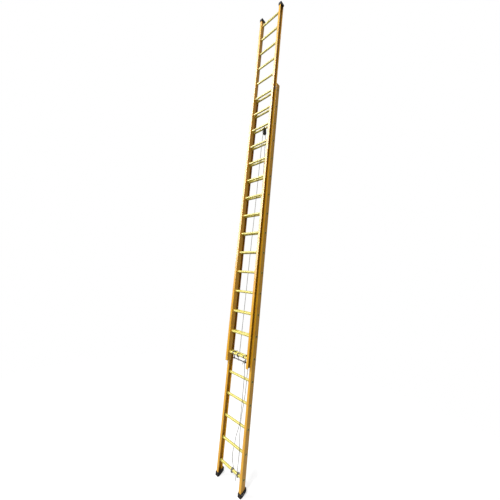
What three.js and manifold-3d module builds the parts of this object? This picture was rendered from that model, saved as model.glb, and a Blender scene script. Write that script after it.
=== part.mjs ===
// Two-section extension ladder with glass-fibre rails and rungs, in millimetres.
// Z runs up the rails, X along the rungs, and the fly section stands in front of the base, towards -Y.
// The origin is on the ground, in the middle of the ladder's box. The fly is raised by five rungs.
import * as THREE from 'three';
import { mergeVertices } from 'three/addons/utils/BufferGeometryUtils.js';
import Module from 'manifold-3d';

const wasm = await Module();
wasm.setup();

// ---------------------------------------------------------------- driving sizes
const RUNG_PITCH = 300;
const RUNG_COUNT = 20; // in each section
const RAISED_PITCHES = 5; // how far the fly stands up, in rungs
const RUNG_RADIUS = 17;
const RUNG_BORE = 13;
const RUNG_PROUD = 1.5; // how far a rung's end stands out of the rail's web

const RAIL_DEPTH = 78; // front to back
const FLANGE_WIDTH = 40;
const RAIL_WALL = 5;
const BASE_WEB = 246; // out to the base's webs, whose flanges point inwards
const FLY_WEB = 190; // out to the fly's webs, whose flanges point outwards and hook behind the base's
const SECTION_OFFSET = 63; // from the base's rung plane forward to the fly's
const FLY_RAIL_BELOW = 125; // rail below the fly's lowest rung
const FLY_RAIL_ABOVE = 132; // rail above its highest rung
const BASE_RAIL_ABOVE = 105;
const FOOT_TO_RUNG = 200; // ground to the base's lowest rung

const GAP = 0.3; // between pieces that touch

const BOOT_WALL = 6;
const BOOT_FLOOR = 24; // ground to the rail's lower end
const BOOT_TOE_HEIGHT = 52;
const BOOT_HEEL_REACH = 64; // behind the base's rung plane
const BOOT_HEEL_RISE = 38; // how far the sole curves up at the heel
const BOOT_HEEL_HEIGHT = 92;
const CAP_WALL = 6;
const CAP_TOP = 8;
const CAP_HEIGHT = 55;
const CAP_BACK_HEIGHT = 29; // less, so that it stays above the base's rails when the fly is down

const GUIDE_THICKNESS = 2.6;
const GUIDE_HEIGHT = 60;
const GUIDE_REACH = 24; // over the flange, from its edge
const BASE_GUIDE_HEIGHT = 5700; // lower edge, above the lowest base rung
const FLY_GUIDE_HEIGHT = -100; // lower edge, from the lowest fly rung

const ROPE_RADIUS = 4;
const PULLEY_X = 36;
const PULLEY_RUNG = 17; // counted from 0 at the bottom
const PULLEY_DROP = 80; // rung axis down to the sheave's axle
const PULLEY_ROPE_RADIUS = 33; // rope centreline round the sheave
const SHEAVE_RADIUS = 35.5;
const SHEAVE_WIDTH = 13;
const SHEAVE_BORE = 4.4;
const PULLEY_PIN_RADIUS = 4;
const CHEEK_THICKNESS = 3;
const CHEEK_GAP = 14;

const HOOK_X = 114; // middle of each hook plate
const HOOK_THICKNESS = 5;
const HOOK_PLAY = 0.6; // round the rungs
const HOOK_TOP = 22; // above the rungs' axes
const HOOK_NOSE_WIDTH = 4; // round the eye as well
const HOOK_LIP = 5; // how far the mouth's lips reach below the rungs' axes
const HOOK_TAIL_FRONT = 24; // from the fly rung's axis back to the tail's front edge
const HOOK_TAIL_BACK = 35;
const LINK_Y = 29.5; // behind the fly rung's axis
const LINK_Z = -75; // below the fly rung's axis
const LINK_RADIUS = 7;
const LINK_BOSS_RADIUS = 13; // of each hook, round the rod
const LINK_OVERHANG = 16; // past each hook

const ROUND_STEPS = 16; // sides of a rung and of the holes that hold it

// ---------------------------------------------------------------- materials
const finish = (color, roughness, metalness) =>
  new THREE.MeshStandardMaterial({ color, roughness, metalness });
const yellowFibreglass = finish(0xd9a51e, 0.45, 0);
const rungFibreglass = finish(0xe0c23a, 0.5, 0);
const blackRubber = finish(0x1c1a18, 0.8, 0);
const darkSteel = finish(0x3c3f45, 0.45, 0.8);
const blackNylon = finish(0x202022, 0.5, 0);
const zincSteel = finish(0x9a9da0, 0.4, 0.9);
const greyRope = finish(0xb4aea4, 0.9, 0);

// ---------------------------------------------------------------- shape helpers
// A closed geometry as a solid that can be joined and cut, and back again.
function toSolid(geometry) {
  const bare = geometry.index ? geometry.toNonIndexed() : geometry.clone();
  bare.deleteAttribute('normal');
  bare.deleteAttribute('uv');
  const merged = mergeVertices(bare, 1e-4);
  return new wasm.Manifold(new wasm.Mesh({
    numProp: 3,
    vertProperties: merged.attributes.position.array,
    triVerts: new Uint32Array(merged.index.array),
  }));
}

function toGeometry(solid) {
  const { vertProperties, triVerts } = solid.getMesh();
  const indexed = new THREE.BufferGeometry();
  indexed.setAttribute('position', new THREE.BufferAttribute(new Float32Array(vertProperties), 3));
  indexed.setIndex(new THREE.BufferAttribute(new Uint32Array(triVerts), 1));
  const geometry = indexed.toNonIndexed();
  geometry.computeVertexNormals();
  return geometry;
}

const joined = (geometries) => geometries.map(toSolid).reduce((all, one) => all.add(one));

// Points round a circle, or round part of one, from one angle to another.
function arc(cx, cy, radius, from = 0, to = 2 * Math.PI, steps = ROUND_STEPS) {
  const full = Math.abs(to - from) > 2 * Math.PI - 1e-6;
  return Array.from({ length: full ? steps : steps + 1 }, (_, i) => {
    const angle = from + ((to - from) * i) / steps;
    return new THREE.Vector2(cx + radius * Math.cos(angle), cy + radius * Math.sin(angle));
  });
}

// An outline whose corners are rounded; each corner is [x, y, radius].
function rounded(corners, steps = 2) {
  return corners.flatMap(([x, y, radius], i) => {
    const corner = new THREE.Vector2(x, y);
    const [bx, by] = corners.at(i - 1);
    const [ax, ay] = corners[(i + 1) % corners.length];
    const before = new THREE.Vector2(bx, by).sub(corner).normalize();
    const after = new THREE.Vector2(ax, ay).sub(corner).normalize();
    const half = before.angleTo(after) / 2;
    const inward = before.clone().add(after).normalize();
    const centre = corner.clone().addScaledVector(inward, radius / Math.sin(half));
    const first = corner.clone().addScaledVector(before, radius / Math.tan(half)).sub(centre);
    const last = corner.clone().addScaledVector(after, radius / Math.tan(half)).sub(centre);
    const from = first.angle();
    const turn = THREE.MathUtils.euclideanModulo(last.angle() - from + Math.PI, 2 * Math.PI) - Math.PI;
    return arc(centre.x, centre.y, radius, from, from + turn, steps);
  });
}

// A flat outline, with any holes, drawn out along Z from 0 to depth.
function drawnOut(points, depth, holes = []) {
  const shape = new THREE.Shape(points);
  shape.holes = holes.map((hole) => new THREE.Path(hole));
  return new THREE.ExtrudeGeometry(shape, { depth, bevelEnabled: false });
}

// The same for an outline in the YZ plane, drawn out along X and centred on x.
function drawnAcross(points, width, x, holes = []) {
  const turn = new THREE.Matrix4().makeBasis(
    new THREE.Vector3(0, 1, 0), new THREE.Vector3(0, 0, 1), new THREE.Vector3(1, 0, 0));
  return drawnOut(points, width, holes).applyMatrix4(turn).translate(x - width / 2, 0, 0);
}

function block([x0, x1], [y0, y1], [z0, z1]) {
  return new THREE.BoxGeometry(x1 - x0, y1 - y0, z1 - z0)
    .translate((x0 + x1) / 2, (y0 + y1) / 2, (z0 + z1) / 2);
}

function rodAcross(radius, width, x, y, z, steps = ROUND_STEPS) {
  return drawnAcross(arc(y, z, radius, 0, 2 * Math.PI, steps), width, x);
}


function piece(name, geometry, material) {
  const mesh = new THREE.Mesh(geometry, material.clone());
  mesh.name = name;
  return mesh;
}

// ---------------------------------------------------------------- rails and rungs
// Rungs stand at z = 0, one pitch, two pitches and so on in each section's own frame.
// way is +1 where the flanges run outwards from the web and -1 where they run inwards.
function railGeometry(side, webReach, way, bottom, top) {
  const web = side * webReach;
  const webInside = side * (webReach + way * RAIL_WALL);
  const edge = side * (webReach + way * FLANGE_WIDTH);
  const back = RAIL_DEPTH / 2;
  const flange = back - RAIL_WALL;
  const corners = [
    [web, -back, 4], [web, back, 4], [edge, back, 1.5], [edge, flange, 1.5],
    [webInside, flange, 3], [webInside, -flange, 3], [edge, -flange, 1.5], [edge, -back, 1.5],
  ];
  const channel = drawnOut(rounded(corners), top - bottom).translate(0, 0, bottom);
  const holes = Array.from({ length: RUNG_COUNT }, (_, i) =>
    toSolid(rodAcross(RUNG_RADIUS + GAP, 4 * RAIL_WALL, web, 0, i * RUNG_PITCH)));
  return toGeometry(holes.reduce((rail, hole) => rail.subtract(hole), toSolid(channel)));
}

function addRungs(section, name, webFace) {
  const geometry = drawnAcross(
    arc(0, 0, RUNG_RADIUS), 2 * (webFace + RUNG_PROUD), 0, [arc(0, 0, RUNG_BORE)]);
  for (let i = 0; i < RUNG_COUNT; i += 1) {
    const rung = piece(`${name}_${String(i + 1).padStart(2, '0')}`, geometry, rungFibreglass);
    rung.position.z = i * RUNG_PITCH;
    section.add(rung);
  }
}

// ---------------------------------------------------------------- rubber boots and caps
// A boot's sole is flat under the toe and rises to the heel, which reaches behind the rail.
function bootGeometry(side) {
  const ground = -FOOT_TO_RUNG;
  const toe = -RAIL_DEPTH / 2 - BOOT_WALL;
  const profile = rounded([
    [toe, ground, 5],
    [-6, ground, 12],
    [BOOT_HEEL_REACH, ground + BOOT_HEEL_RISE, 8],
    [BOOT_HEEL_REACH, ground + BOOT_TOE_HEIGHT + 8, 6],
    [BOOT_HEEL_REACH - 6, ground + BOOT_HEEL_HEIGHT, 6],
    [toe, ground + BOOT_TOE_HEIGHT, 4],
  ], 4);
  const width = FLANGE_WIDTH + 2 * BOOT_WALL;
  const middle = side * (BASE_WEB - FLANGE_WIDTH / 2);
  const pocket = block(
    [middle - FLANGE_WIDTH / 2 - GAP, middle + FLANGE_WIDTH / 2 + GAP],
    [-RAIL_DEPTH / 2 - GAP, RAIL_DEPTH / 2 + GAP],
    [ground + BOOT_FLOOR - GAP, ground + 2 * BOOT_HEEL_HEIGHT]);
  return toGeometry(toSolid(drawnAcross(profile, width, middle)).subtract(toSolid(pocket)));
}

// A cap's skirt is cut away at the back, where the base's rails come up to it.
function capGeometry(side) {
  const railTop = (RUNG_COUNT - 1) * RUNG_PITCH + FLY_RAIL_ABOVE;
  const top = railTop + CAP_TOP;
  const middle = side * (FLY_WEB + FLANGE_WIDTH / 2);
  const face = RAIL_DEPTH / 2 + CAP_WALL;
  const profile = rounded([
    [-face, top - CAP_HEIGHT, 3],
    [4, top - CAP_HEIGHT, 6],
    [17, top - CAP_BACK_HEIGHT, 6],
    [face, top - CAP_BACK_HEIGHT, 2],
    [face, top, 8],
    [-face, top, 8],
  ], 4);
  const pocket = block(
    [middle - FLANGE_WIDTH / 2 - GAP, middle + FLANGE_WIDTH / 2 + GAP],
    [-RAIL_DEPTH / 2 - GAP, RAIL_DEPTH / 2 + GAP],
    [top - 2 * CAP_HEIGHT, railTop + GAP]);
  return toGeometry(toSolid(drawnAcross(profile, FLANGE_WIDTH + 2 * CAP_WALL, middle))
    .subtract(toSolid(pocket)));
}

// ---------------------------------------------------------------- guide clips
// The fly's rear flanges run behind the base's front flanges. A clip over the edge of each keeps
// the sections apart and guides them: it wraps the flange whose middle plane is at y.
function guideGeometry(side, edgeReach, way, y, height) {
  const near = RAIL_WALL / 2 + GAP;
  const far = near + GUIDE_THICKNESS;
  const edge = edgeReach + way * GAP;
  const outside = edge + way * GUIDE_THICKNESS;
  const end = edgeReach - way * GUIDE_REACH;
  const corners = [
    [end, y - far, 0.5], [outside, y - far, 2], [outside, y + far, 2], [end, y + far, 0.5],
    [end, y + near, 0.5], [edge, y + near, 1], [edge, y - near, 1], [end, y - near, 0.5],
  ].map(([x, ...rest]) => [side * x, ...rest]);
  return toGeometry(toSolid(drawnOut(rounded(corners), GUIDE_HEIGHT).translate(0, 0, height)));
}

// ---------------------------------------------------------------- pulley
const sheaveZ = PULLEY_RUNG * RUNG_PITCH - PULLEY_DROP;

// Two cheek plates hang on the rung, with a spacer between them and the axle riveted through.
function pulleyBracketGeometry() {
  const rungZ = PULLEY_RUNG * RUNG_PITCH;
  const topRadius = RUNG_RADIUS + 6;
  const bottomRadius = SHEAVE_RADIUS + 3;
  const lean = Math.asin((bottomRadius - topRadius) / PULLEY_DROP); // of the plates' slanting edges
  const outline = [
    ...arc(0, rungZ, topRadius, lean, Math.PI - lean, 10),
    ...arc(0, sheaveZ, bottomRadius, Math.PI - lean, 2 * Math.PI + lean, 18),
  ];
  const rungHole = arc(0, rungZ, RUNG_RADIUS + 0.5);
  const cheeks = [-1, 1].map((side) => drawnAcross(
    outline, CHEEK_THICKNESS, PULLEY_X + (side * (CHEEK_GAP + CHEEK_THICKNESS)) / 2, [rungHole]));
  const spacer = block(
    [PULLEY_X - CHEEK_GAP / 2 - 1, PULLEY_X + CHEEK_GAP / 2 + 1], [-12, 12],
    [sheaveZ + PULLEY_ROPE_RADIUS + 10, sheaveZ + PULLEY_ROPE_RADIUS + 18]);
  const axleLength = CHEEK_GAP + 2 * CHEEK_THICKNESS + 4;
  const axle = rodAcross(PULLEY_PIN_RADIUS, axleLength, PULLEY_X, 0, sheaveZ);
  return toGeometry(joined([...cheeks, spacer, axle]));
}

// A grooved wheel on the axle; its profile is turned round the Y axis and then laid along X.
function sheaveGeometry() {
  const half = SHEAVE_WIDTH / 2;
  const groove = arc(PULLEY_ROPE_RADIUS, 0, ROPE_RADIUS + 0.4, 1.35 * Math.PI, 0.65 * Math.PI, 8);
  const rim = groove[0].x + 0.5;
  const profile = [
    new THREE.Vector2(SHEAVE_BORE, -half), new THREE.Vector2(SHEAVE_RADIUS, -half),
    new THREE.Vector2(Math.max(rim, SHEAVE_RADIUS), -half + 1.2),
    ...groove,
    new THREE.Vector2(Math.max(rim, SHEAVE_RADIUS), half - 1.2),
    new THREE.Vector2(SHEAVE_RADIUS, half), new THREE.Vector2(SHEAVE_BORE, half),
    new THREE.Vector2(SHEAVE_BORE, -half),
  ];
  return new THREE.LatheGeometry(profile, 28)
    .rotateZ(-Math.PI / 2).translate(PULLEY_X, 0, sheaveZ);
}

// ---------------------------------------------------------------- rung lock
// Each hook turns on the fly's lowest rung, rests over the base rung behind it, and has a tail
// between the two. Its frame has the fly rung's axis at y = 0, z = 0.
function hookGeometry(side) {
  const round = RUNG_RADIUS + HOOK_PLAY;
  const eye = round + HOOK_NOSE_WIDTH;
  const noseBack = SECTION_OFFSET + round + HOOK_NOSE_WIDTH;
  const arm = rounded([
    [0, -12, 1], [HOOK_TAIL_BACK, -12, 1], [SECTION_OFFSET - round, -HOOK_LIP, 1],
    [noseBack, -HOOK_LIP, 2], [noseBack, HOOK_TOP, 14], [30, HOOK_TOP, 8], [0, round + 1, 1],
  ], 4);
  const tail = rounded([
    [HOOK_TAIL_FRONT - 12, -8, 1], [HOOK_TAIL_FRONT, -40, 10], [HOOK_TAIL_FRONT, LINK_Z, 1],
    [HOOK_TAIL_BACK, LINK_Z, 1], [HOOK_TAIL_BACK, -8, 1],
  ]);
  const mouth = block(
    [side * HOOK_X - HOOK_THICKNESS, side * HOOK_X + HOOK_THICKNESS],
    [SECTION_OFFSET - round, SECTION_OFFSET + round], [-2 * round, 0]);
  const drawn = (outline) => drawnAcross(outline, HOOK_THICKNESS, side * HOOK_X);
  const cut = (radius, y, z) => rodAcross(radius, 2 * HOOK_THICKNESS, side * HOOK_X, y, z, 24);
  const disc = (y, z, radius) => drawn(arc(y, z, radius, 0, 2 * Math.PI, 24));
  const boss = disc(LINK_Y, LINK_Z, LINK_BOSS_RADIUS);
  return toGeometry(joined([disc(0, 0, eye), drawn(arm), drawn(tail), boss])
    .subtract(toSolid(cut(round, 0, 0)))
    .subtract(joined([cut(round, SECTION_OFFSET, 0), mouth]))
    .subtract(toSolid(cut(LINK_RADIUS + GAP, LINK_Y, LINK_Z))));
}

function linkRodGeometry() {
  const length = 2 * (HOOK_X + LINK_OVERHANG);
  return rodAcross(LINK_RADIUS, length, 0, LINK_Y, LINK_Z);
}

// ---------------------------------------------------------------- rope
// A rope follows its route's points; each stretch between two points has the same number of steps,
// so that close points carry a tight bend.
function ropeGeometry(route, stepsEach) {
  const path = new THREE.CatmullRomCurve3(route.map((point) => new THREE.Vector3(...point)));
  path.getUtoTmapping = (share) => share;
  const section = new THREE.Shape(arc(0, 0, ROPE_RADIUS, 0, 2 * Math.PI, 8));
  return new THREE.ExtrudeGeometry(section, {
    steps: (route.length - 1) * stepsEach, extrudePath: path,
  });
}

// Routes in the base section's frame, from the pulley or the lock downwards.
const haulTop = [PULLEY_X, -PULLEY_ROPE_RADIUS, sheaveZ - 14];
const haulRoute = [
  haulTop, [29, -33.5, 4700], [24, -34.5, 4100], [18, -36, 3500], [9, -38, 2900],
  [0, -40, 2200], [-8, -41, 1650], [-9, -41.2, 1504],
];

const overSheave = arc(0, sheaveZ, PULLEY_ROPE_RADIUS, Math.PI, 0, 6)
  .map(({ x, y }) => [PULLEY_X, x, y]);
const handRoute = [
  [PULLEY_X, -PULLEY_ROPE_RADIUS, sheaveZ - 13],
  ...overSheave,
  [40, 33, 4940], [48, 33, 4780], [60, 33, 4560], [74, 32, 4100], [86, 32, 3500],
  [97, 32, 2900], [108, 32, 2300], [117, 32, 1740], [120, 31, 1400], [114, 26, 1210],
  [113, 24, 1000], [97, 24, 830], [81, 24, 680], [83, 20, 550], [101, 3, 450],
  [130, -17, 370], [143, -23, 290], [141, -23, 170], [137, -22, 70], [136, -21.6, 8],
];

const tailRoute = [
  [98, -33.5, 1411], [103, -33.5, 1370], [112, -32, 1290], [114, -29, 1170], [113, -27, 1000],
  [110, -23, 860], [106, -22, 730], [102, -22, 630], [86, -21, 555], [56, -12, 470],
  [24, 7, 395], [4, 22, 320], [-10, 23, 250], [-21, 23, 170], [-15, 23, 100],
  [8, 22, 45], [24, 21.6, 6],
];

// ---------------------------------------------------------------- assembly
const FRONT_REACH = SECTION_OFFSET + RAIL_DEPTH / 2 + CAP_WALL;
const flangeMiddle = (RAIL_DEPTH - RAIL_WALL) / 2; // from the rung plane
const baseY = (FRONT_REACH - BOOT_HEEL_REACH) / 2; // centres the ladder's box on the origin
const sides = [['left', -1], ['right', 1]];

const ladder = new THREE.Group();
const base = new THREE.Group();
base.position.set(0, baseY, FOOT_TO_RUNG);
const fly = new THREE.Group();
fly.position.set(0, baseY - SECTION_OFFSET, FOOT_TO_RUNG + RAISED_PITCHES * RUNG_PITCH);
const rungLock = new THREE.Group();
fly.add(rungLock);
ladder.add(base, fly);

const topRung = (RUNG_COUNT - 1) * RUNG_PITCH;
for (const [name, side] of sides) {
  base.add(
    piece(`base_rail_${name}`,
      railGeometry(side, BASE_WEB, -1, BOOT_FLOOR - FOOT_TO_RUNG, topRung + BASE_RAIL_ABOVE),
      yellowFibreglass),
    piece(`foot_boot_${name}`, bootGeometry(side), blackRubber),
    piece(`base_guide_${name}`,
      guideGeometry(side, BASE_WEB - FLANGE_WIDTH, -1, -flangeMiddle, BASE_GUIDE_HEIGHT),
      zincSteel));
  fly.add(
    piece(`fly_rail_${name}`,
      railGeometry(side, FLY_WEB, 1, -FLY_RAIL_BELOW, topRung + FLY_RAIL_ABOVE),
      yellowFibreglass),
    piece(`top_cap_${name}`, capGeometry(side), blackRubber),
    piece(`fly_guide_${name}`,
      guideGeometry(side, FLY_WEB + FLANGE_WIDTH, 1, flangeMiddle, FLY_GUIDE_HEIGHT), zincSteel));
  rungLock.add(piece(`lock_hook_${name}`, hookGeometry(side), darkSteel));
}
addRungs(base, 'base_rung', BASE_WEB);
addRungs(fly, 'fly_rung', FLY_WEB + RAIL_WALL);
rungLock.add(piece('lock_link_rod', linkRodGeometry(), darkSteel));
base.add(
  piece('pulley_bracket', pulleyBracketGeometry(), darkSteel),
  piece('pulley_sheave', sheaveGeometry(), blackNylon),
  piece('halyard_haul', ropeGeometry(haulRoute, 3), greyRope),
  piece('halyard_hand', ropeGeometry(handRoute, 3), greyRope),
  piece('halyard_tail', ropeGeometry(tailRoute, 4), greyRope));

export default ladder;
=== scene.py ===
"""Extension ladder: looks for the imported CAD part. Metres, +Z up the rails, -Y towards the fly."""
import math
import bmesh
import bpy
import numpy as np
from mathutils import Matrix, Vector


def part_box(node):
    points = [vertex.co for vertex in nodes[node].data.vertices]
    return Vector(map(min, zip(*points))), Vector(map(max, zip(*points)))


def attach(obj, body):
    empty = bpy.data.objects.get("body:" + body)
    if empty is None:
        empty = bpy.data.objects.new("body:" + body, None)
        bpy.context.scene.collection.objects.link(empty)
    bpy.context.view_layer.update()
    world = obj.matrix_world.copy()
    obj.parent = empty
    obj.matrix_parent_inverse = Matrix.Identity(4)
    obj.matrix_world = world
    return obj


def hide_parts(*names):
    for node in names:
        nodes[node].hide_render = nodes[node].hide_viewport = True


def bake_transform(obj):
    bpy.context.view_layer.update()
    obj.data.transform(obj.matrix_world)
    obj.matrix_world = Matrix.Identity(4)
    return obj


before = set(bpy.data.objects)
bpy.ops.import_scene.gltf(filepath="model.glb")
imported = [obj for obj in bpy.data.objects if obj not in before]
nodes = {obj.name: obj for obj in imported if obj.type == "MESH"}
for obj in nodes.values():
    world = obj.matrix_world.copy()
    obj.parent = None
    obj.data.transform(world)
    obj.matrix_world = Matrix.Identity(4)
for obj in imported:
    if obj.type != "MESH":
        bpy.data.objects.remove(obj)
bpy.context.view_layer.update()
scene = bpy.context.scene

# ------------------------------------------------------------------ sizes, taken from the CAD
SIDES = (("left", -1), ("right", 1))
RUNGS = range(1, 21)


def middle(node):
    low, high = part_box(node)
    return (low + high) / 2


base_y, ground_z = middle("base_rung_01").y, middle("base_rung_01").z
fly_y, fly_z = middle("fly_rung_01").y, middle("fly_rung_01").z
rung_radius = (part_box("base_rung_01")[1].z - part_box("base_rung_01")[0].z) / 2
rod = middle("lock_link_rod")
sheave = middle("pulley_sheave")
ROPE_RADIUS = 0.004
ROPE_ROUND_SHEAVE = 0.033

# ------------------------------------------------------------------ camera
SENSOR_WIDTH, LENS = 36, 16.776  # millimetres
CAMERA_PLACE = (2.4546, base_y - 2.6157, 2.7459)
camera_data = bpy.data.cameras.new("camera")
camera_data.sensor_width, camera_data.lens = SENSOR_WIDTH, LENS
camera_data.clip_start, camera_data.clip_end = 0.05, 200
camera = bpy.data.objects.new("camera", camera_data)
scene.collection.objects.link(camera)
forward = Vector((-0.6832, 0.7171, 0.1375)).normalized()
right = Vector((0.7298, 0.6772, 0.0943))
right = (right - forward * right.dot(forward)).normalized()
up = right.cross(forward)
camera.matrix_world = Matrix.Translation(CAMERA_PLACE) @ Matrix(
    (right, up, -forward)).transposed().to_4x4()
scene.camera = camera


# ------------------------------------------------------------------ mesh helpers
def new_object(name, vertices, faces):
    """A smooth-shaded object from its points and the faces between them."""
    mesh = bpy.data.meshes.new(name)
    mesh.from_pydata([tuple(v) for v in vertices], [], faces)
    mesh.validate()
    mesh.shade_smooth()
    made = bpy.data.objects.new(name, mesh)
    scene.collection.objects.link(made)
    return made


def applied(obj):
    """Bakes the object's modifiers into its mesh."""
    bpy.context.view_layer.update()
    depsgraph = bpy.context.evaluated_depsgraph_get()
    baked = bpy.data.meshes.new_from_object(obj.evaluated_get(depsgraph))
    obj.modifiers.clear()
    obj.data = baked
    return obj


CURVE_SAMPLES = 40  # between two of the points that a curve goes through


def smooth_curve(points, step):
    """Points a step apart along a smooth curve through the given ones."""
    p = np.array([list(q) for q in points], float)
    p = np.vstack([2 * p[0] - p[1], p, 2 * p[-1] - p[-2]])
    dense = []
    for a, b, c, d in zip(p, p[1:], p[2:], p[3:]):
        t = np.cumsum([0, *(np.linalg.norm(v) ** 0.5 for v in (b - a, c - b, d - c))])
        for u in np.linspace(t[1], t[2], CURVE_SAMPLES, endpoint=False):
            ab = ((t[1] - u) * a + (u - t[0]) * b) / (t[1] - t[0])
            bc = ((t[2] - u) * b + (u - t[1]) * c) / (t[2] - t[1])
            cd = ((t[3] - u) * c + (u - t[2]) * d) / (t[3] - t[2])
            abc = ((t[2] - u) * ab + (u - t[0]) * bc) / (t[2] - t[0])
            bcd = ((t[3] - u) * bc + (u - t[1]) * cd) / (t[3] - t[1])
            dense.append(((t[2] - u) * abc + (u - t[1]) * bcd) / (t[2] - t[1]))
    dense = np.array([*dense, p[-2]])
    along = np.cumsum([0, *np.linalg.norm(np.diff(dense, axis=0), axis=1)])
    marks = np.linspace(0, along[-1], max(2, round(along[-1] / step)) + 1)
    return [Vector([np.interp(m, along, dense[:, k]) for k in range(3)]) for m in marks]


def frames_along(line):
    """A pair of cross directions at each point of a line, turned as little as possible."""
    tangents = [(b - a).normalized() for a, b in zip(line, line[1:])]
    tangents = [tangents[0], *((a + b).normalized() for a, b in zip(tangents, tangents[1:])), tangents[-1]]
    side = tangents[0].orthogonal().normalized()
    result = []
    for tangent in tangents:
        side = (side - tangent * side.dot(tangent)).normalized()
        result.append((side.copy(), tangent.cross(side)))
    return result


def tube_faces(rings, sides):
    """The faces of a tube made of rings of points, with both ends closed."""
    faces = []
    for i in range(rings - 1):
        for k in range(sides):
            n = (k + 1) % sides
            faces.append((i * sides + k, i * sides + n, (i + 1) * sides + n, (i + 1) * sides + k))
    faces.append(tuple(range(sides - 1, -1, -1)))
    faces.append(tuple(range((rings - 1) * sides, rings * sides)))
    return faces


ROPE_LAY = 0.030  # along the rope, for one turn of its strands
ROPE_STEP = 0.0025  # between the rings of its mesh
STRAND_SWELL = 1.04  # of a strand's crown past the rope's radius
END_TAPER = (0.45, 0.8, 0.95)  # of the first rings at a cut end
STRAND_SHAPE = (1.0, 0.93, 0.74, 0.93)  # a strand's crown, shoulder, the valley to the next, shoulder


def rope(name, points, closed_ends=True):
    """A three-strand laid rope through the points; returns its object and its centre line."""
    line = smooth_curve(points, ROPE_STEP)
    count = 3 * len(STRAND_SHAPE)
    vertices, travelled = [], 0
    last = len(line) - 1
    for i, (point, (u, v)) in enumerate(zip(line, frames_along(line))):
        travelled += (point - line[i - 1]).length if i else 0
        turn = 2 * math.pi * travelled / ROPE_LAY
        end = min(i, last - i)
        taper = END_TAPER[end] if closed_ends and end < len(END_TAPER) else 1
        for k in range(count):
            angle = turn + 2 * math.pi * k / count
            radius = ROPE_RADIUS * STRAND_SWELL * taper * STRAND_SHAPE[k % len(STRAND_SHAPE)]
            vertices.append(point + (u * math.cos(angle) + v * math.sin(angle)) * radius)
    made = new_object(name, vertices, tube_faces(len(line), count))
    made.data.materials.append(rope_material)
    return made, line


def turned(name, profile, axis, centre, steps, material):
    """A profile of (distance along the axis, radius) pairs, swept round an axis 'x', 'y' or 'z'."""
    vertices, faces = [], []
    for distance, radius in profile:
        for k in range(steps):
            a = 2 * math.pi * k / steps
            c, s = radius * math.cos(a), radius * math.sin(a)
            local = {"x": (distance, c, s), "y": (s, distance, c), "z": (c, s, distance)}[axis]
            vertices.append(Vector(local) + Vector(centre))
    rows = len(profile)
    for i in range(rows):
        j = (i + 1) % rows
        for k in range(steps):
            n = (k + 1) % steps
            faces.append((i * steps + k, i * steps + n, j * steps + n, j * steps + k))
    made = new_object(name, vertices, faces)
    made.data.materials.append(material)
    return made


def joined(name, objects):
    """The objects as one, with the first one's material."""
    mesh = bpy.data.meshes.new(name)
    whole = bmesh.new()
    for obj in objects:
        part = obj.data.copy()
        part.transform(obj.matrix_world)
        whole.from_mesh(part)
    whole.to_mesh(mesh)
    whole.free()
    for material in objects[0].data.materials:
        mesh.materials.append(material)
    for obj in objects:
        bpy.data.objects.remove(obj)
    made = bpy.data.objects.new(name, mesh)
    scene.collection.objects.link(made)
    return made


def refined(node, width, segments=3, angle=30):
    """A copy of a CAD node's shape with rounded edges, which stands for the node."""
    source = nodes[node]
    mesh = source.data.copy()
    mesh.materials.clear()
    shape = bmesh.new()
    shape.from_mesh(mesh)
    bmesh.ops.remove_doubles(shape, verts=shape.verts, dist=1e-6)
    bmesh.ops.dissolve_limit(
        shape, angle_limit=math.radians(1), verts=shape.verts, edges=shape.edges)
    shape.to_mesh(mesh)
    shape.free()
    made = bpy.data.objects.new(node + "_shape", mesh)
    scene.collection.objects.link(made)
    rounding = made.modifiers.new("rounding", "BEVEL")
    rounding.width, rounding.segments = width, segments
    rounding.limit_method, rounding.angle_limit = "ANGLE", math.radians(angle)
    rounding.harden_normals = True
    applied(made)
    made.data.shade_smooth()
    weights = made.modifiers.new("weights", "WEIGHTED_NORMAL")
    weights.keep_sharp = True
    applied(made)
    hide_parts(node)
    return made


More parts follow.
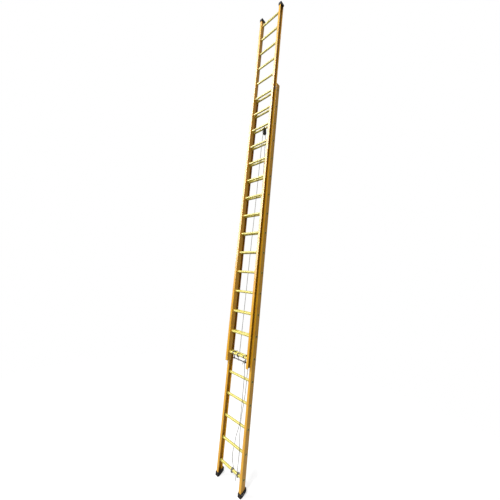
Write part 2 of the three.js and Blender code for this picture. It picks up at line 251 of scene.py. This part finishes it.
# ------------------------------------------------------------------ materials
class Nodes:
    """A short way to lay out one material's nodes."""

    def __init__(self, name):
        self.material = bpy.data.materials.new(name)
        self.material.use_nodes = True
        self.tree = self.material.node_tree
        self.shader = self.tree.nodes["Principled BSDF"]

    def add(self, kind, inputs=None, **settings):
        node = self.tree.nodes.new(kind)
        for key, value in settings.items():
            setattr(node, key, value)
        for key, value in (inputs or {}).items():
            if isinstance(value, bpy.types.NodeSocket):
                self.tree.links.new(value, node.inputs[key])
            else:
                node.inputs[key].default_value = value
        return node

    def place(self, scale):
        """Object coordinates stretched by a scale for each axis."""
        coordinates = self.add("ShaderNodeTexCoord").outputs["Object"]
        return self.add("ShaderNodeMapping", {"Vector": coordinates, "Scale": scale}).outputs["Vector"]

    def noise(self, vector, scale, detail=4.0, roughness=0.55):
        return self.add("ShaderNodeTexNoise", {
            "Vector": vector, "Scale": scale, "Detail": detail, "Roughness": roughness}).outputs["Fac"]

    def ramp(self, factor, stops):
        node = self.add("ShaderNodeValToRGB", {"Fac": factor})
        ramp = node.color_ramp
        while len(ramp.elements) < len(stops):
            ramp.elements.new(0.5)
        for element, (position, color) in zip(ramp.elements, stops):
            element.position = position
            element.color = (*color, 1)
        return node.outputs["Color"]

    def mixed(self, factor, a, b, blend="MIX"):
        node = self.add("ShaderNodeMix", data_type="RGBA", blend_type=blend)
        for key, value in ((0, factor), (6, a), (7, b)):
            if isinstance(value, bpy.types.NodeSocket):
                self.tree.links.new(value, node.inputs[key])
            else:
                node.inputs[key].default_value = value if key == 0 else (*value, 1)
        return node.outputs[2]

    def set(self, **values):
        for key, value in values.items():
            socket = self.shader.inputs[key.replace("_", " ")]
            if isinstance(value, bpy.types.NodeSocket):
                self.tree.links.new(value, socket)
            elif isinstance(value, tuple) and len(value) == 3:
                socket.default_value = (*value, 1)
            else:
                socket.default_value = value

    def bump(self, height, strength, distance, normal=None):
        inputs = {"Height": height, "Strength": strength, "Distance": distance}
        if normal is not None:
            inputs["Normal"] = normal
        return self.add("ShaderNodeBump", inputs).outputs["Normal"]

    def grey(self, factor, low, high):
        return self.ramp(factor, [(0.25, (low,) * 3), (0.75, (high,) * 3)])


def fibreglass(name, dark, light, grain):
    """Pultruded glass-fibre: long strands under a clear resin skin, faint mottling and handling marks."""
    look = Nodes(name)
    strands = look.noise(look.place(grain), 1.0, detail=5.0, roughness=0.7)
    clouds = look.noise(look.place((1, 1, 1)), 9.0, detail=3.0)
    color = look.ramp(strands, [(0.30, dark), (0.70, light)])
    color = look.mixed(look.grey(clouds, 0.0, 0.35), color, tuple(0.82 * c for c in light), "MULTIPLY")
    marks = look.noise(look.place((1, 1, 0.35)), 60.0, detail=6.0, roughness=0.75)
    worn = look.ramp(marks, [(0.66, (0, 0, 0)), (0.74, (0.45, 0.45, 0.45))])
    color = look.mixed(worn, color, (0.50, 0.40, 0.20))
    fine = look.bump(strands, 0.25, 0.0004)
    look.set(Base_Color=color, Roughness=look.grey(clouds, 0.30, 0.46),
             Normal=look.bump(marks, 0.12, 0.0006, fine), Specular_IOR_Level=0.4,
             Coat_Weight=0.7, Coat_Roughness=0.28)
    return look.material


def plated(name, low, high, roughness):
    """Metal sheet with rolling lines and dull patches."""
    look = Nodes(name)
    lines = look.noise(look.place((900, 60, 60)), 1.0, detail=3.0)
    patches = look.noise(look.place((1, 1, 1)), 70.0, detail=5.0)
    look.set(Base_Color=look.ramp(patches, [(0.3, low), (0.7, high)]), Metallic=0.9,
             Roughness=look.grey(patches, roughness - 0.1, roughness + 0.1),
             Normal=look.bump(lines, 0.15, 0.0003))
    return look.material


def painted(name, paint, metal):
    """Paint over steel, rubbed through in small spots, with a faint orange-peel surface."""
    look = Nodes(name)
    peel = look.noise(look.place((1, 1, 1)), 900.0, detail=2.0)
    spots = look.noise(look.place((1, 1, 1)), 130.0, detail=8.0, roughness=0.75)
    rubbed = look.ramp(spots, [(0.62, (0, 0, 0)), (0.68, (1, 1, 1))])
    look.set(Base_Color=look.mixed(rubbed, paint, metal), Metallic=rubbed,
             Roughness=look.grey(peel, 0.34, 0.5), Normal=look.bump(peel, 0.2, 0.0003))
    return look.material


def moulded(name, color, dust, roughness, pores):
    """Rubber or nylon with a fine moulded texture and a little dust in its hollows."""
    look = Nodes(name)
    grain = look.noise(look.place((1, 1, 1)), pores, detail=3.0)
    patches = look.noise(look.place((1, 1, 1)), 35.0, detail=6.0, roughness=0.7)
    dusty = look.ramp(patches, [(0.55, (0, 0, 0)), (0.78, (0.5, 0.5, 0.5))])
    look.set(Base_Color=look.mixed(dusty, color, dust),
             Roughness=look.grey(patches, roughness - 0.1, roughness),
             Normal=look.bump(grain, 0.35, 0.0004), Specular_IOR_Level=0.35)
    return look.material


def laid_rope(name):
    """Yarns on each strand, darker in the low parts of their bump, with patches of grime."""
    look = Nodes(name)
    yarns = look.noise(look.place((1, 1, 0.25)), 2600.0, detail=3.0)
    clouds = look.noise(look.place((1, 1, 1)), 22.0, detail=5.0)
    color = look.ramp(yarns, [(0.25, (0.09, 0.085, 0.07)), (0.65, (0.24, 0.23, 0.20))])
    look.set(Base_Color=look.mixed(look.grey(clouds, 0.0, 0.4), color, (0.11, 0.105, 0.09)),
             Roughness=0.85, Sheen_Weight=0.25, Normal=look.bump(yarns, 0.6, 0.0005))
    return look.material


rail_material = fibreglass("rail_fibreglass", (0.54, 0.28, 0.008), (0.70, 0.38, 0.018), (420, 420, 5))
rung_material = fibreglass("rung_fibreglass", (0.46, 0.40, 0.060), (0.62, 0.55, 0.11), (6, 380, 380))
resin_material = moulded("joint_resin", (0.78, 0.34, 0.02), (0.60, 0.33, 0.08), 0.4, 500.0)
rubber_material = moulded("black_rubber", (0.011, 0.009, 0.008), (0.050, 0.042, 0.036), 0.75, 1500.0)
nylon_material = moulded("black_nylon", (0.02, 0.02, 0.022), (0.07, 0.068, 0.065), 0.45, 1200.0)
guide_material = plated("zinc_plate", (0.42, 0.42, 0.43), (0.62, 0.62, 0.62), 0.38)
rivet_material = plated("rivet_aluminium", (0.50, 0.50, 0.51), (0.70, 0.70, 0.70), 0.34)
spring_material = plated("spring_steel", (0.30, 0.29, 0.28), (0.48, 0.47, 0.45), 0.32)
lock_material = painted("lock_paint", (0.040, 0.038, 0.042), (0.30, 0.29, 0.29))
bracket_material = painted("pulley_paint", (0.020, 0.020, 0.022), (0.26, 0.25, 0.24))
rope_material = laid_rope("laid_rope")

# ------------------------------------------------------------------ halyard
# The routes are those of the CAD's ropes, from the pulley or the lock downwards; x, then y from the
# base's rungs, then height above the base's lowest rung, in millimetres.
def in_row(route):
    return [Vector((x / 1000, base_y + y / 1000, ground_z + z / 1000)) for x, y, z in route]


pulley_x, sheave_z = sheave.x * 1000, (sheave.z - ground_z) * 1000
over_sheave = [(pulley_x, -33 * math.cos(a), sheave_z + 33 * math.sin(a))
               for a in (math.pi * i / 6 for i in range(7))]
haul_route = in_row([
    (pulley_x, -33, sheave_z - 14), (29, -33.5, 4700), (24, -34.5, 4100), (18, -36, 3500), (9, -38, 2900),
    (0, -40, 2200), (-8, -41, 1650), (-9, -41.2, 1504)])
hand_route = in_row([
    (pulley_x, -33, sheave_z - 13), *over_sheave,
    (40, 33, 4940), (48, 33, 4780), (60, 33, 4560), (74, 32, 4100), (86, 32, 3500),
    (97, 32, 2900), (108, 32, 2300), (117, 32, 1740), (120, 31, 1400), (114, 26, 1210),
    (113, 24, 1000), (97, 24, 830), (81, 24, 680), (83, 20, 550), (101, 3, 450),
    (130, -17, 370), (143, -23, 290), (141, -23, 170), (137, -22, 70), (136, -21.6, 8)])
lead_route = in_row([(98, -33.5, 1411), (100.5, -33.5, 1390), (104.4, -33.3, 1358)])
tail_route = in_row([
    (104, -33.3, 1361), (112, -32, 1290), (114, -29, 1170), (113, -27, 1000),
    (110, -23, 860), (106, -22, 730), (102, -22, 630), (86, -21, 555), (56, -12, 470),
    (24, 7, 395), (4, 22, 320), (-10, 23, 250), (-21, 23, 170), (-15, 23, 100),
    (8, 22, 45), (24, 21.6, 6)])


STEPS_ROUND = 12  # points in one turn of a knot or a spring
ROPE_GAP = 0.0005  # between a rope and the bar it goes round


def hitch(name, x, y, z, radius, start, way, loose, turns=2):
    """Turns round a bar along X, a turn that crosses over them, and a loose end that hangs.
    start is the angle where the line arrives, from +Y towards +Z; way is +1 or -1 round the bar."""
    pitch = 2.1 * ROPE_RADIUS
    points = []
    for i in range(STEPS_ROUND * turns + 1):  # side by side
        share = i / STEPS_ROUND
        a = start + way * 2 * math.pi * share
        points.append((x + pitch * share, y + radius * math.cos(a), z + radius * math.sin(a)))
    for i in range(1, STEPS_ROUND + 1):  # back across them, further out in the middle
        share = i / STEPS_ROUND
        a = start + way * 2 * math.pi * share
        out = radius + 1.9 * ROPE_RADIUS * math.sin(math.pi * min(1, 1.15 * share)) + ROPE_GAP
        across = x + turns * pitch - (turns + 1.2) * pitch * share
        points.append((across, y + out * math.cos(a), z + out * math.sin(a)))
    px, py, pz = points[-1]
    outward = math.cos(start)
    for i in range(1, 7):
        share = i / 6
        points.append((px - 0.004 * math.sin(3 * share), py + 0.003 * outward * share,
                       pz - 0.006 - loose * share))
    return rope(name, [Vector(p) for p in points])[0]


turn_radius = rung_radius + ROPE_RADIUS + ROPE_GAP
haul_end, hand_end, tail_end = haul_route[-1], hand_route[-1], tail_route[-1]
haul_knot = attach(hitch("haul_knot", haul_end.x, fly_y, fly_z, turn_radius, 0, -1, 0.085, 1), "fly")
hand_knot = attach(
    hitch("hand_knot", hand_end.x, base_y, ground_z, turn_radius, math.pi, 1, 0.060, 1), "base")
tail_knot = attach(
    hitch("tail_knot", tail_end.x, base_y, ground_z, turn_radius, 0, -1, 0.050), "base")
rod_radius = (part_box("lock_link_rod")[1].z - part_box("lock_link_rod")[0].z) / 2
lead_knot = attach(
    hitch("lead_knot", lead_route[0].x - 0.006, rod.y, rod.z, rod_radius + ROPE_RADIUS, math.pi, 1,
          0.030), "rung_lock")

haul, haul_line = rope("haul_line", haul_route, closed_ends=False)
hand, hand_line = rope("hand_line", hand_route, closed_ends=False)
lead, lead_line = rope("tail_lead", lead_route, closed_ends=False)
tail, tail_line = rope("tail_line", tail_route, closed_ends=False)
for piece, line, lay, nodes_shown, knots in (
        (haul, haul_line, "taut", ["halyard_haul"], [haul_knot]),
        (hand, hand_line, "hanging", ["halyard_hand"], [hand_knot]),
        (lead, lead_line, "hanging", ["halyard_tail"], [lead_knot]),
        (tail, tail_line, "hanging", ["halyard_tail"], [tail_knot])):
    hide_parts(*nodes_shown)
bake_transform(haul)
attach(hand, "base")
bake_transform(lead)
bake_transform(tail)

# ------------------------------------------------------------------ rails and rungs
for section in ("base", "fly"):
    for side, _ in SIDES:
        rail = refined(f"{section}_rail_{side}", 0.0006, segments=2, angle=50)
        rail.data.materials.append(rail_material)
        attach(rail, section)

FLUTES = 24
POINTS_PER_FLUTE = 6
FLUTE_DEPTH = 0.00045
BORE_RADIUS = 0.013
CHAMFER = 0.0006  # at a rung's outer ends
PLAIN_END = 0.012  # between a rail and the start of the flutes
RUN_OUT = 0.010  # over which the flutes reach their depth


def fluted_rung(name, half_length, rail_inside):
    """A tube with fine grooves along it for grip between the rails, and plain chamfered ends."""
    steps = FLUTES * POINTS_PER_FLUTE
    grip = rail_inside - PLAIN_END
    stations = [(-half_length, -CHAMFER, 0), (-half_length + CHAMFER, 0, 0), (-grip, 0, 0),
                (-grip + RUN_OUT, 0, 1), (grip - RUN_OUT, 0, 1), (grip, 0, 0),
                (half_length - CHAMFER, 0, 0), (half_length, -CHAMFER, 0)]
    vertices, faces = [], []
    for x, change, depth in stations:
        for k in range(steps):
            a = 2 * math.pi * k / steps
            dip = depth * FLUTE_DEPTH * (0.5 - 0.5 * math.cos(a * FLUTES)) ** 2
            r = rung_radius + change - dip
            vertices.append((x, r * math.cos(a), r * math.sin(a)))
    for x in (half_length, half_length - 0.001, -half_length + 0.001, -half_length):
        chamfer = 0.0005 if abs(x) == half_length else 0
        for k in range(steps):
            a = 2 * math.pi * k / steps
            r = BORE_RADIUS + chamfer
            vertices.append((x, r * math.cos(a), r * math.sin(a)))
    rings = len(stations) + 4
    for i in range(rings):
        j = (i + 1) % rings
        for k in range(steps):
            n = (k + 1) % steps
            faces.append((i * steps + k, j * steps + k, j * steps + n, i * steps + n))
    made = new_object(name, vertices, faces)
    made.data.materials.append(rung_material)
    made.data.set_sharp_from_angle(angle=math.radians(35))
    return made


def bonded_ring(name, web_face, side, y, z):
    """The fillet of resin round a rung where it meets the inside of a rail's web."""
    inner = rung_radius - 0.0003
    profile = [(0.0, inner + 0.0045), (0.0008, inner + 0.0042), (0.0022, inner + 0.0018),
               (0.0045, inner + 0.0007), (0.0060, inner + 0.0001), (0.0060, inner - 0.0004),
               (0.0, inner - 0.0004)]
    flipped = [(-side * d, r) for d, r in profile]
    return turned(name, flipped, "x", (web_face, y, z), 32, resin_material)


def end_plug(side, x, y, z):
    """A slightly domed plastic plug in the open end of a rung."""
    r = BORE_RADIUS - 0.0002
    profile = [(side * d, q) for d, q in (
        (-0.010, 1e-5), (-0.010, r), (-0.0012, r), (-0.0004, r - 0.001), (0.0003, 0.6 * r), (0.0005, 1e-5))]
    return turned("plug", profile, "x", (x, y, z), 32, nylon_material)


WEB_THICKNESS = 0.005
for section in ("base", "fly"):
    rail_low, rail_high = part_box(f"{section}_rail_right")
    web_face = rail_low.x if section == "fly" else rail_high.x - WEB_THICKNESS
    half_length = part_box(f"{section}_rung_01")[1].x
    pattern = fluted_rung(f"{section}_rung_shape", half_length, rail_low.x)
    rings, plugs = [], []
    for i in RUNGS:
        node = f"{section}_rung_{i:02d}"
        centre = middle(node)
        rung = pattern if i == 1 else bpy.data.objects.new(f"{section}_rung_shape_{i:02d}", pattern.data)
        if i > 1:
            scene.collection.objects.link(rung)
        rung.location = centre
        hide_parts(node)
        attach(rung, section)
        for side in (-1, 1):
            rings.append(bonded_ring("ring", side * web_face, side, centre.y, centre.z))
            plugs.append(end_plug(side, side * half_length, centre.y, centre.z))
    ring_set = joined(f"{section}_bonding", rings)
    ring_set.data.shade_smooth()
    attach(ring_set, section)
    plug_set = joined(f"{section}_rung_plugs", plugs)
    plug_set.data.shade_smooth()
    plug_set.data.set_sharp_from_angle(angle=math.radians(40))
    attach(plug_set, section)


# ------------------------------------------------------------------ rubber boots and caps
for side, _ in SIDES:
    boot = refined(f"foot_boot_{side}", 0.0022, segments=4)
    boot.data.materials.append(rubber_material)
    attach(boot, "base")
    cap = refined(f"top_cap_{side}", 0.0010, segments=3)
    cap.data.materials.append(rubber_material)
    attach(cap, "fly")


# ------------------------------------------------------------------ rivets
def domed(name, centre, axis, way, radius, height, material):
    """A rivet's domed head that stands on a face; way is +1 or -1 along the axis."""
    rise = [(0.0, 0.0), (0.0, 1.0), (0.25, 0.97), (0.55, 0.83), (0.80, 0.62), (0.94, 0.38), (1.0, 0.12),
            (1.0, 0.0)]
    profile = [(way * height * h, max(radius * r, 1e-5)) for h, r in rise]
    return turned(name, profile, axis, centre, 24, material)


def rivet_set(name, body, spots, material):
    """spots holds each head's centre, axis, way, radius and height."""
    made = joined(name, [domed("head", *spot, material) for spot in spots])
    made.data.shade_smooth()
    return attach(made, body)


# each head's radius and height
GUIDE_HEAD, BOOT_HEAD, CAP_HEAD = (0.0042, 0.0010), (0.0060, 0.0016), (0.0055, 0.0016)
base_rivets, fly_rivets = [], []
for side, sx in SIDES:
    for section, rivets in (("base", base_rivets), ("fly", fly_rivets)):
        guide_low, guide_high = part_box(f"{section}_guide_{side}")
        x = (guide_low.x + guide_high.x) / 2
        for share in (0.22, 0.78):
            z = guide_low.z + share * (guide_high.z - guide_low.z)
            rivets.append(((x, guide_low.y, z), "y", -1, *GUIDE_HEAD))
            rivets.append(((x, guide_high.y, z), "y", 1, *GUIDE_HEAD))
    boot_low, boot_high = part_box(f"foot_boot_{side}")
    outer = boot_high.x if sx > 0 else boot_low.x
    for y in (base_y - 0.016, base_y + 0.014):
        base_rivets.append(((outer, y, boot_low.z + 0.038), "x", sx, *BOOT_HEAD))
    cap_low, cap_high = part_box(f"top_cap_{side}")
    outer = cap_high.x if sx > 0 else cap_low.x
    fly_rivets.append(((outer, fly_y, cap_low.z + 0.020), "x", sx, *CAP_HEAD))
rivet_set("base_rivets", "base", base_rivets, rivet_material)
rivet_set("fly_rivets", "fly", fly_rivets, rivet_material)

# ------------------------------------------------------------------ guides, lock and pulley
for side, _ in SIDES:
    for section in ("base", "fly"):
        guide = refined(f"{section}_guide_{side}", 0.0005, segments=2)
        guide.data.materials.append(guide_material)
        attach(guide, section)
    hook = refined(f"lock_hook_{side}", 0.0009)
    hook.data.materials.append(lock_material)
    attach(hook, "rung_lock")

link = refined("lock_link_rod", 0.0010)
link.data.materials.append(lock_material)
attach(link, "rung_lock")

bracket = refined("pulley_bracket", 0.0005, segments=2)
bracket.data.materials.append(bracket_material)
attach(bracket, "base")

sheave_half = (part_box("pulley_sheave")[1].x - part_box("pulley_sheave")[0].x) / 2
rim, hub, bore = 0.0355, 0.0108, 0.0044
web_edge, rim_edge, recess = 0.0255, 0.0265, 0.0022  # the thinner web between the hub and the rim
groove_radius = ROPE_RADIUS + 0.0004
groove = [(groove_radius * math.cos(a), ROPE_ROUND_SHEAVE - groove_radius * math.sin(a))
          for a in (math.pi * (0.08 + 0.84 * i / 10) for i in range(11))]
sheave_profile = [
    (sheave_half, bore + 0.0006), (sheave_half, hub), (sheave_half - recess, hub + 0.0012),
    (sheave_half - recess, web_edge), (sheave_half, rim_edge), (sheave_half, rim - 0.0008),
    (sheave_half - 0.0008, rim), *groove,
    (-sheave_half + 0.0008, rim), (-sheave_half, rim - 0.0008), (-sheave_half, rim_edge),
    (-sheave_half + recess, web_edge), (-sheave_half + recess, hub + 0.0012), (-sheave_half, hub),
    (-sheave_half, bore + 0.0006), (-sheave_half + 0.0006, bore), (sheave_half - 0.0006, bore)]
wheel = turned("sheave_wheel", sheave_profile, "x", sheave, 72, nylon_material)
wheel.data.set_sharp_from_angle(angle=math.radians(40))
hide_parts("pulley_sheave")
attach(wheel, "sheave")


WIRE_SIDES = 8


def coil_spring(name, x0, x1, y, z, radius, wire, turns):
    """A torsion spring round a rung, its legs along the hook and up the rung."""
    points = [Vector((x0, y + radius + 0.020, z - 0.012))]
    for i in range(turns * STEPS_ROUND + 1):
        a = 2 * math.pi * i / STEPS_ROUND
        x = x0 + (x1 - x0) * i / (turns * STEPS_ROUND)
        points.append(Vector((x, y + radius * math.cos(a), z + radius * math.sin(a))))
    points.append(Vector((x1, y + radius, z + 0.022)))
    line = smooth_curve(points, 0.002)
    vertices = []
    for point, (u, v) in zip(line, frames_along(line)):
        for k in range(WIRE_SIDES):
            a = 2 * math.pi * k / WIRE_SIDES
            vertices.append(point + (u * math.cos(a) + v * math.sin(a)) * wire)
    made = new_object(name, vertices, tube_faces(len(line), WIRE_SIDES))
    made.data.materials.append(spring_material)
    return made


for side, sx in SIDES:
    hook_low, hook_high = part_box(f"lock_hook_{side}")
    inner = min(abs(hook_low.x), abs(hook_high.x))
    spring = coil_spring(f"lock_spring_{side}", sx * (inner - 0.003), sx * (inner - 0.017), fly_y, fly_z,
                         rung_radius + 0.0022, 0.0011, 5)
    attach(spring, "fly")

# ------------------------------------------------------------------ floor and light
FLOOR_STEPS, FLOOR_RINGS, FLOOR_RADIUS = 96, 6, 14.0
FADE_FROM, FADE_TO = 1.2, 6.0  # the floor thins out between these distances from the middle
FLOOR_LIFT = 0.6  # of light added where the camera sees the floor, to bring it near the backdrop's white
floor_points = [(FLOOR_RADIUS * (i / FLOOR_RINGS) * math.cos(2 * math.pi * k / FLOOR_STEPS),
                 FLOOR_RADIUS * (i / FLOOR_RINGS) * math.sin(2 * math.pi * k / FLOOR_STEPS), 0)
                for i in range(1, FLOOR_RINGS + 1) for k in range(FLOOR_STEPS)]
floor_faces = [tuple(range(FLOOR_STEPS))]
for i in range(FLOOR_RINGS - 1):
    inner, outer = i * FLOOR_STEPS, (i + 1) * FLOOR_STEPS
    for k in range(FLOOR_STEPS):
        n = (k + 1) % FLOOR_STEPS
        floor_faces.append((inner + k, outer + k, outer + n, inner + n))
floor = new_object("floor", floor_points, floor_faces)
look = Nodes("pale_floor")
clouds = look.noise(look.place((1, 1, 1)), 3.0)
look.set(Base_Color=look.ramp(clouds, [(0.3, (0.44,) * 3), (0.7, (0.46,) * 3)]), Roughness=0.8,
         Specular_IOR_Level=0.2)
place = look.add("ShaderNodeTexCoord").outputs["Object"]
distance = look.add("ShaderNodeVectorMath", {0: place}, operation="LENGTH")
fade = look.add("ShaderNodeMapRange", {
    "Value": distance.outputs["Value"], "From Min": FADE_FROM, "From Max": FADE_TO, "To Min": 1.0,
    "To Max": 0.0})
seen_directly = look.add("ShaderNodeLightPath").outputs["Is Camera Ray"]
lift = look.add("ShaderNodeMath", {0: seen_directly, 1: FLOOR_LIFT}, operation="MULTIPLY")
look.set(Alpha=fade.outputs["Result"], Emission_Color=(1.0, 1.0, 1.0), Emission_Strength=lift.outputs[0])
floor.data.materials.append(look.material)


def lamp(name, kind, place, aim, power, **settings):
    """A light of that kind at a place, turned towards its aim and not seen itself."""
    data = bpy.data.lights.new(name, kind)
    data.energy = power
    for key, value in settings.items():
        setattr(data, key, value)
    made = bpy.data.objects.new(name, data)
    scene.collection.objects.link(made)
    made.location = place
    made.rotation_mode = "QUATERNION"
    made.rotation_quaternion = (Vector(aim) - Vector(place)).to_track_quat("-Z", "Y")
    made.visible_camera = False
    return made


lamp("key", "SUN", (2.6, -9.0, 13.0), (0, 0, 4.0), 2.8, angle=math.radians(14))
lamp("sheen", "AREA", (-4.2, -5.0, 7.5), (0, 0, 5.0), 900, shape="RECTANGLE", size=2.6, size_y=9.0)
AMBIENT, BACKDROP = (0.24, 0.24, 0.245, 1), (1, 1, 1, 1)  # what lights the ladder, and what the camera sees
world = bpy.data.worlds.new("studio")
scene.world = world
world.use_nodes = True
tree = world.node_tree
background = tree.nodes["Background"]
background.inputs["Color"].default_value = AMBIENT
seen = tree.nodes.new("ShaderNodeBackground")
seen.inputs["Color"].default_value = BACKDROP
ray = tree.nodes.new("ShaderNodeLightPath")
choose = tree.nodes.new("ShaderNodeMixShader")
tree.links.new(ray.outputs["Is Camera Ray"], choose.inputs[0])
tree.links.new(background.outputs[0], choose.inputs[1])
tree.links.new(seen.outputs[0], choose.inputs[2])
tree.links.new(choose.outputs[0], tree.nodes["World Output"].inputs["Surface"])
scene.view_settings.view_transform = "Standard"
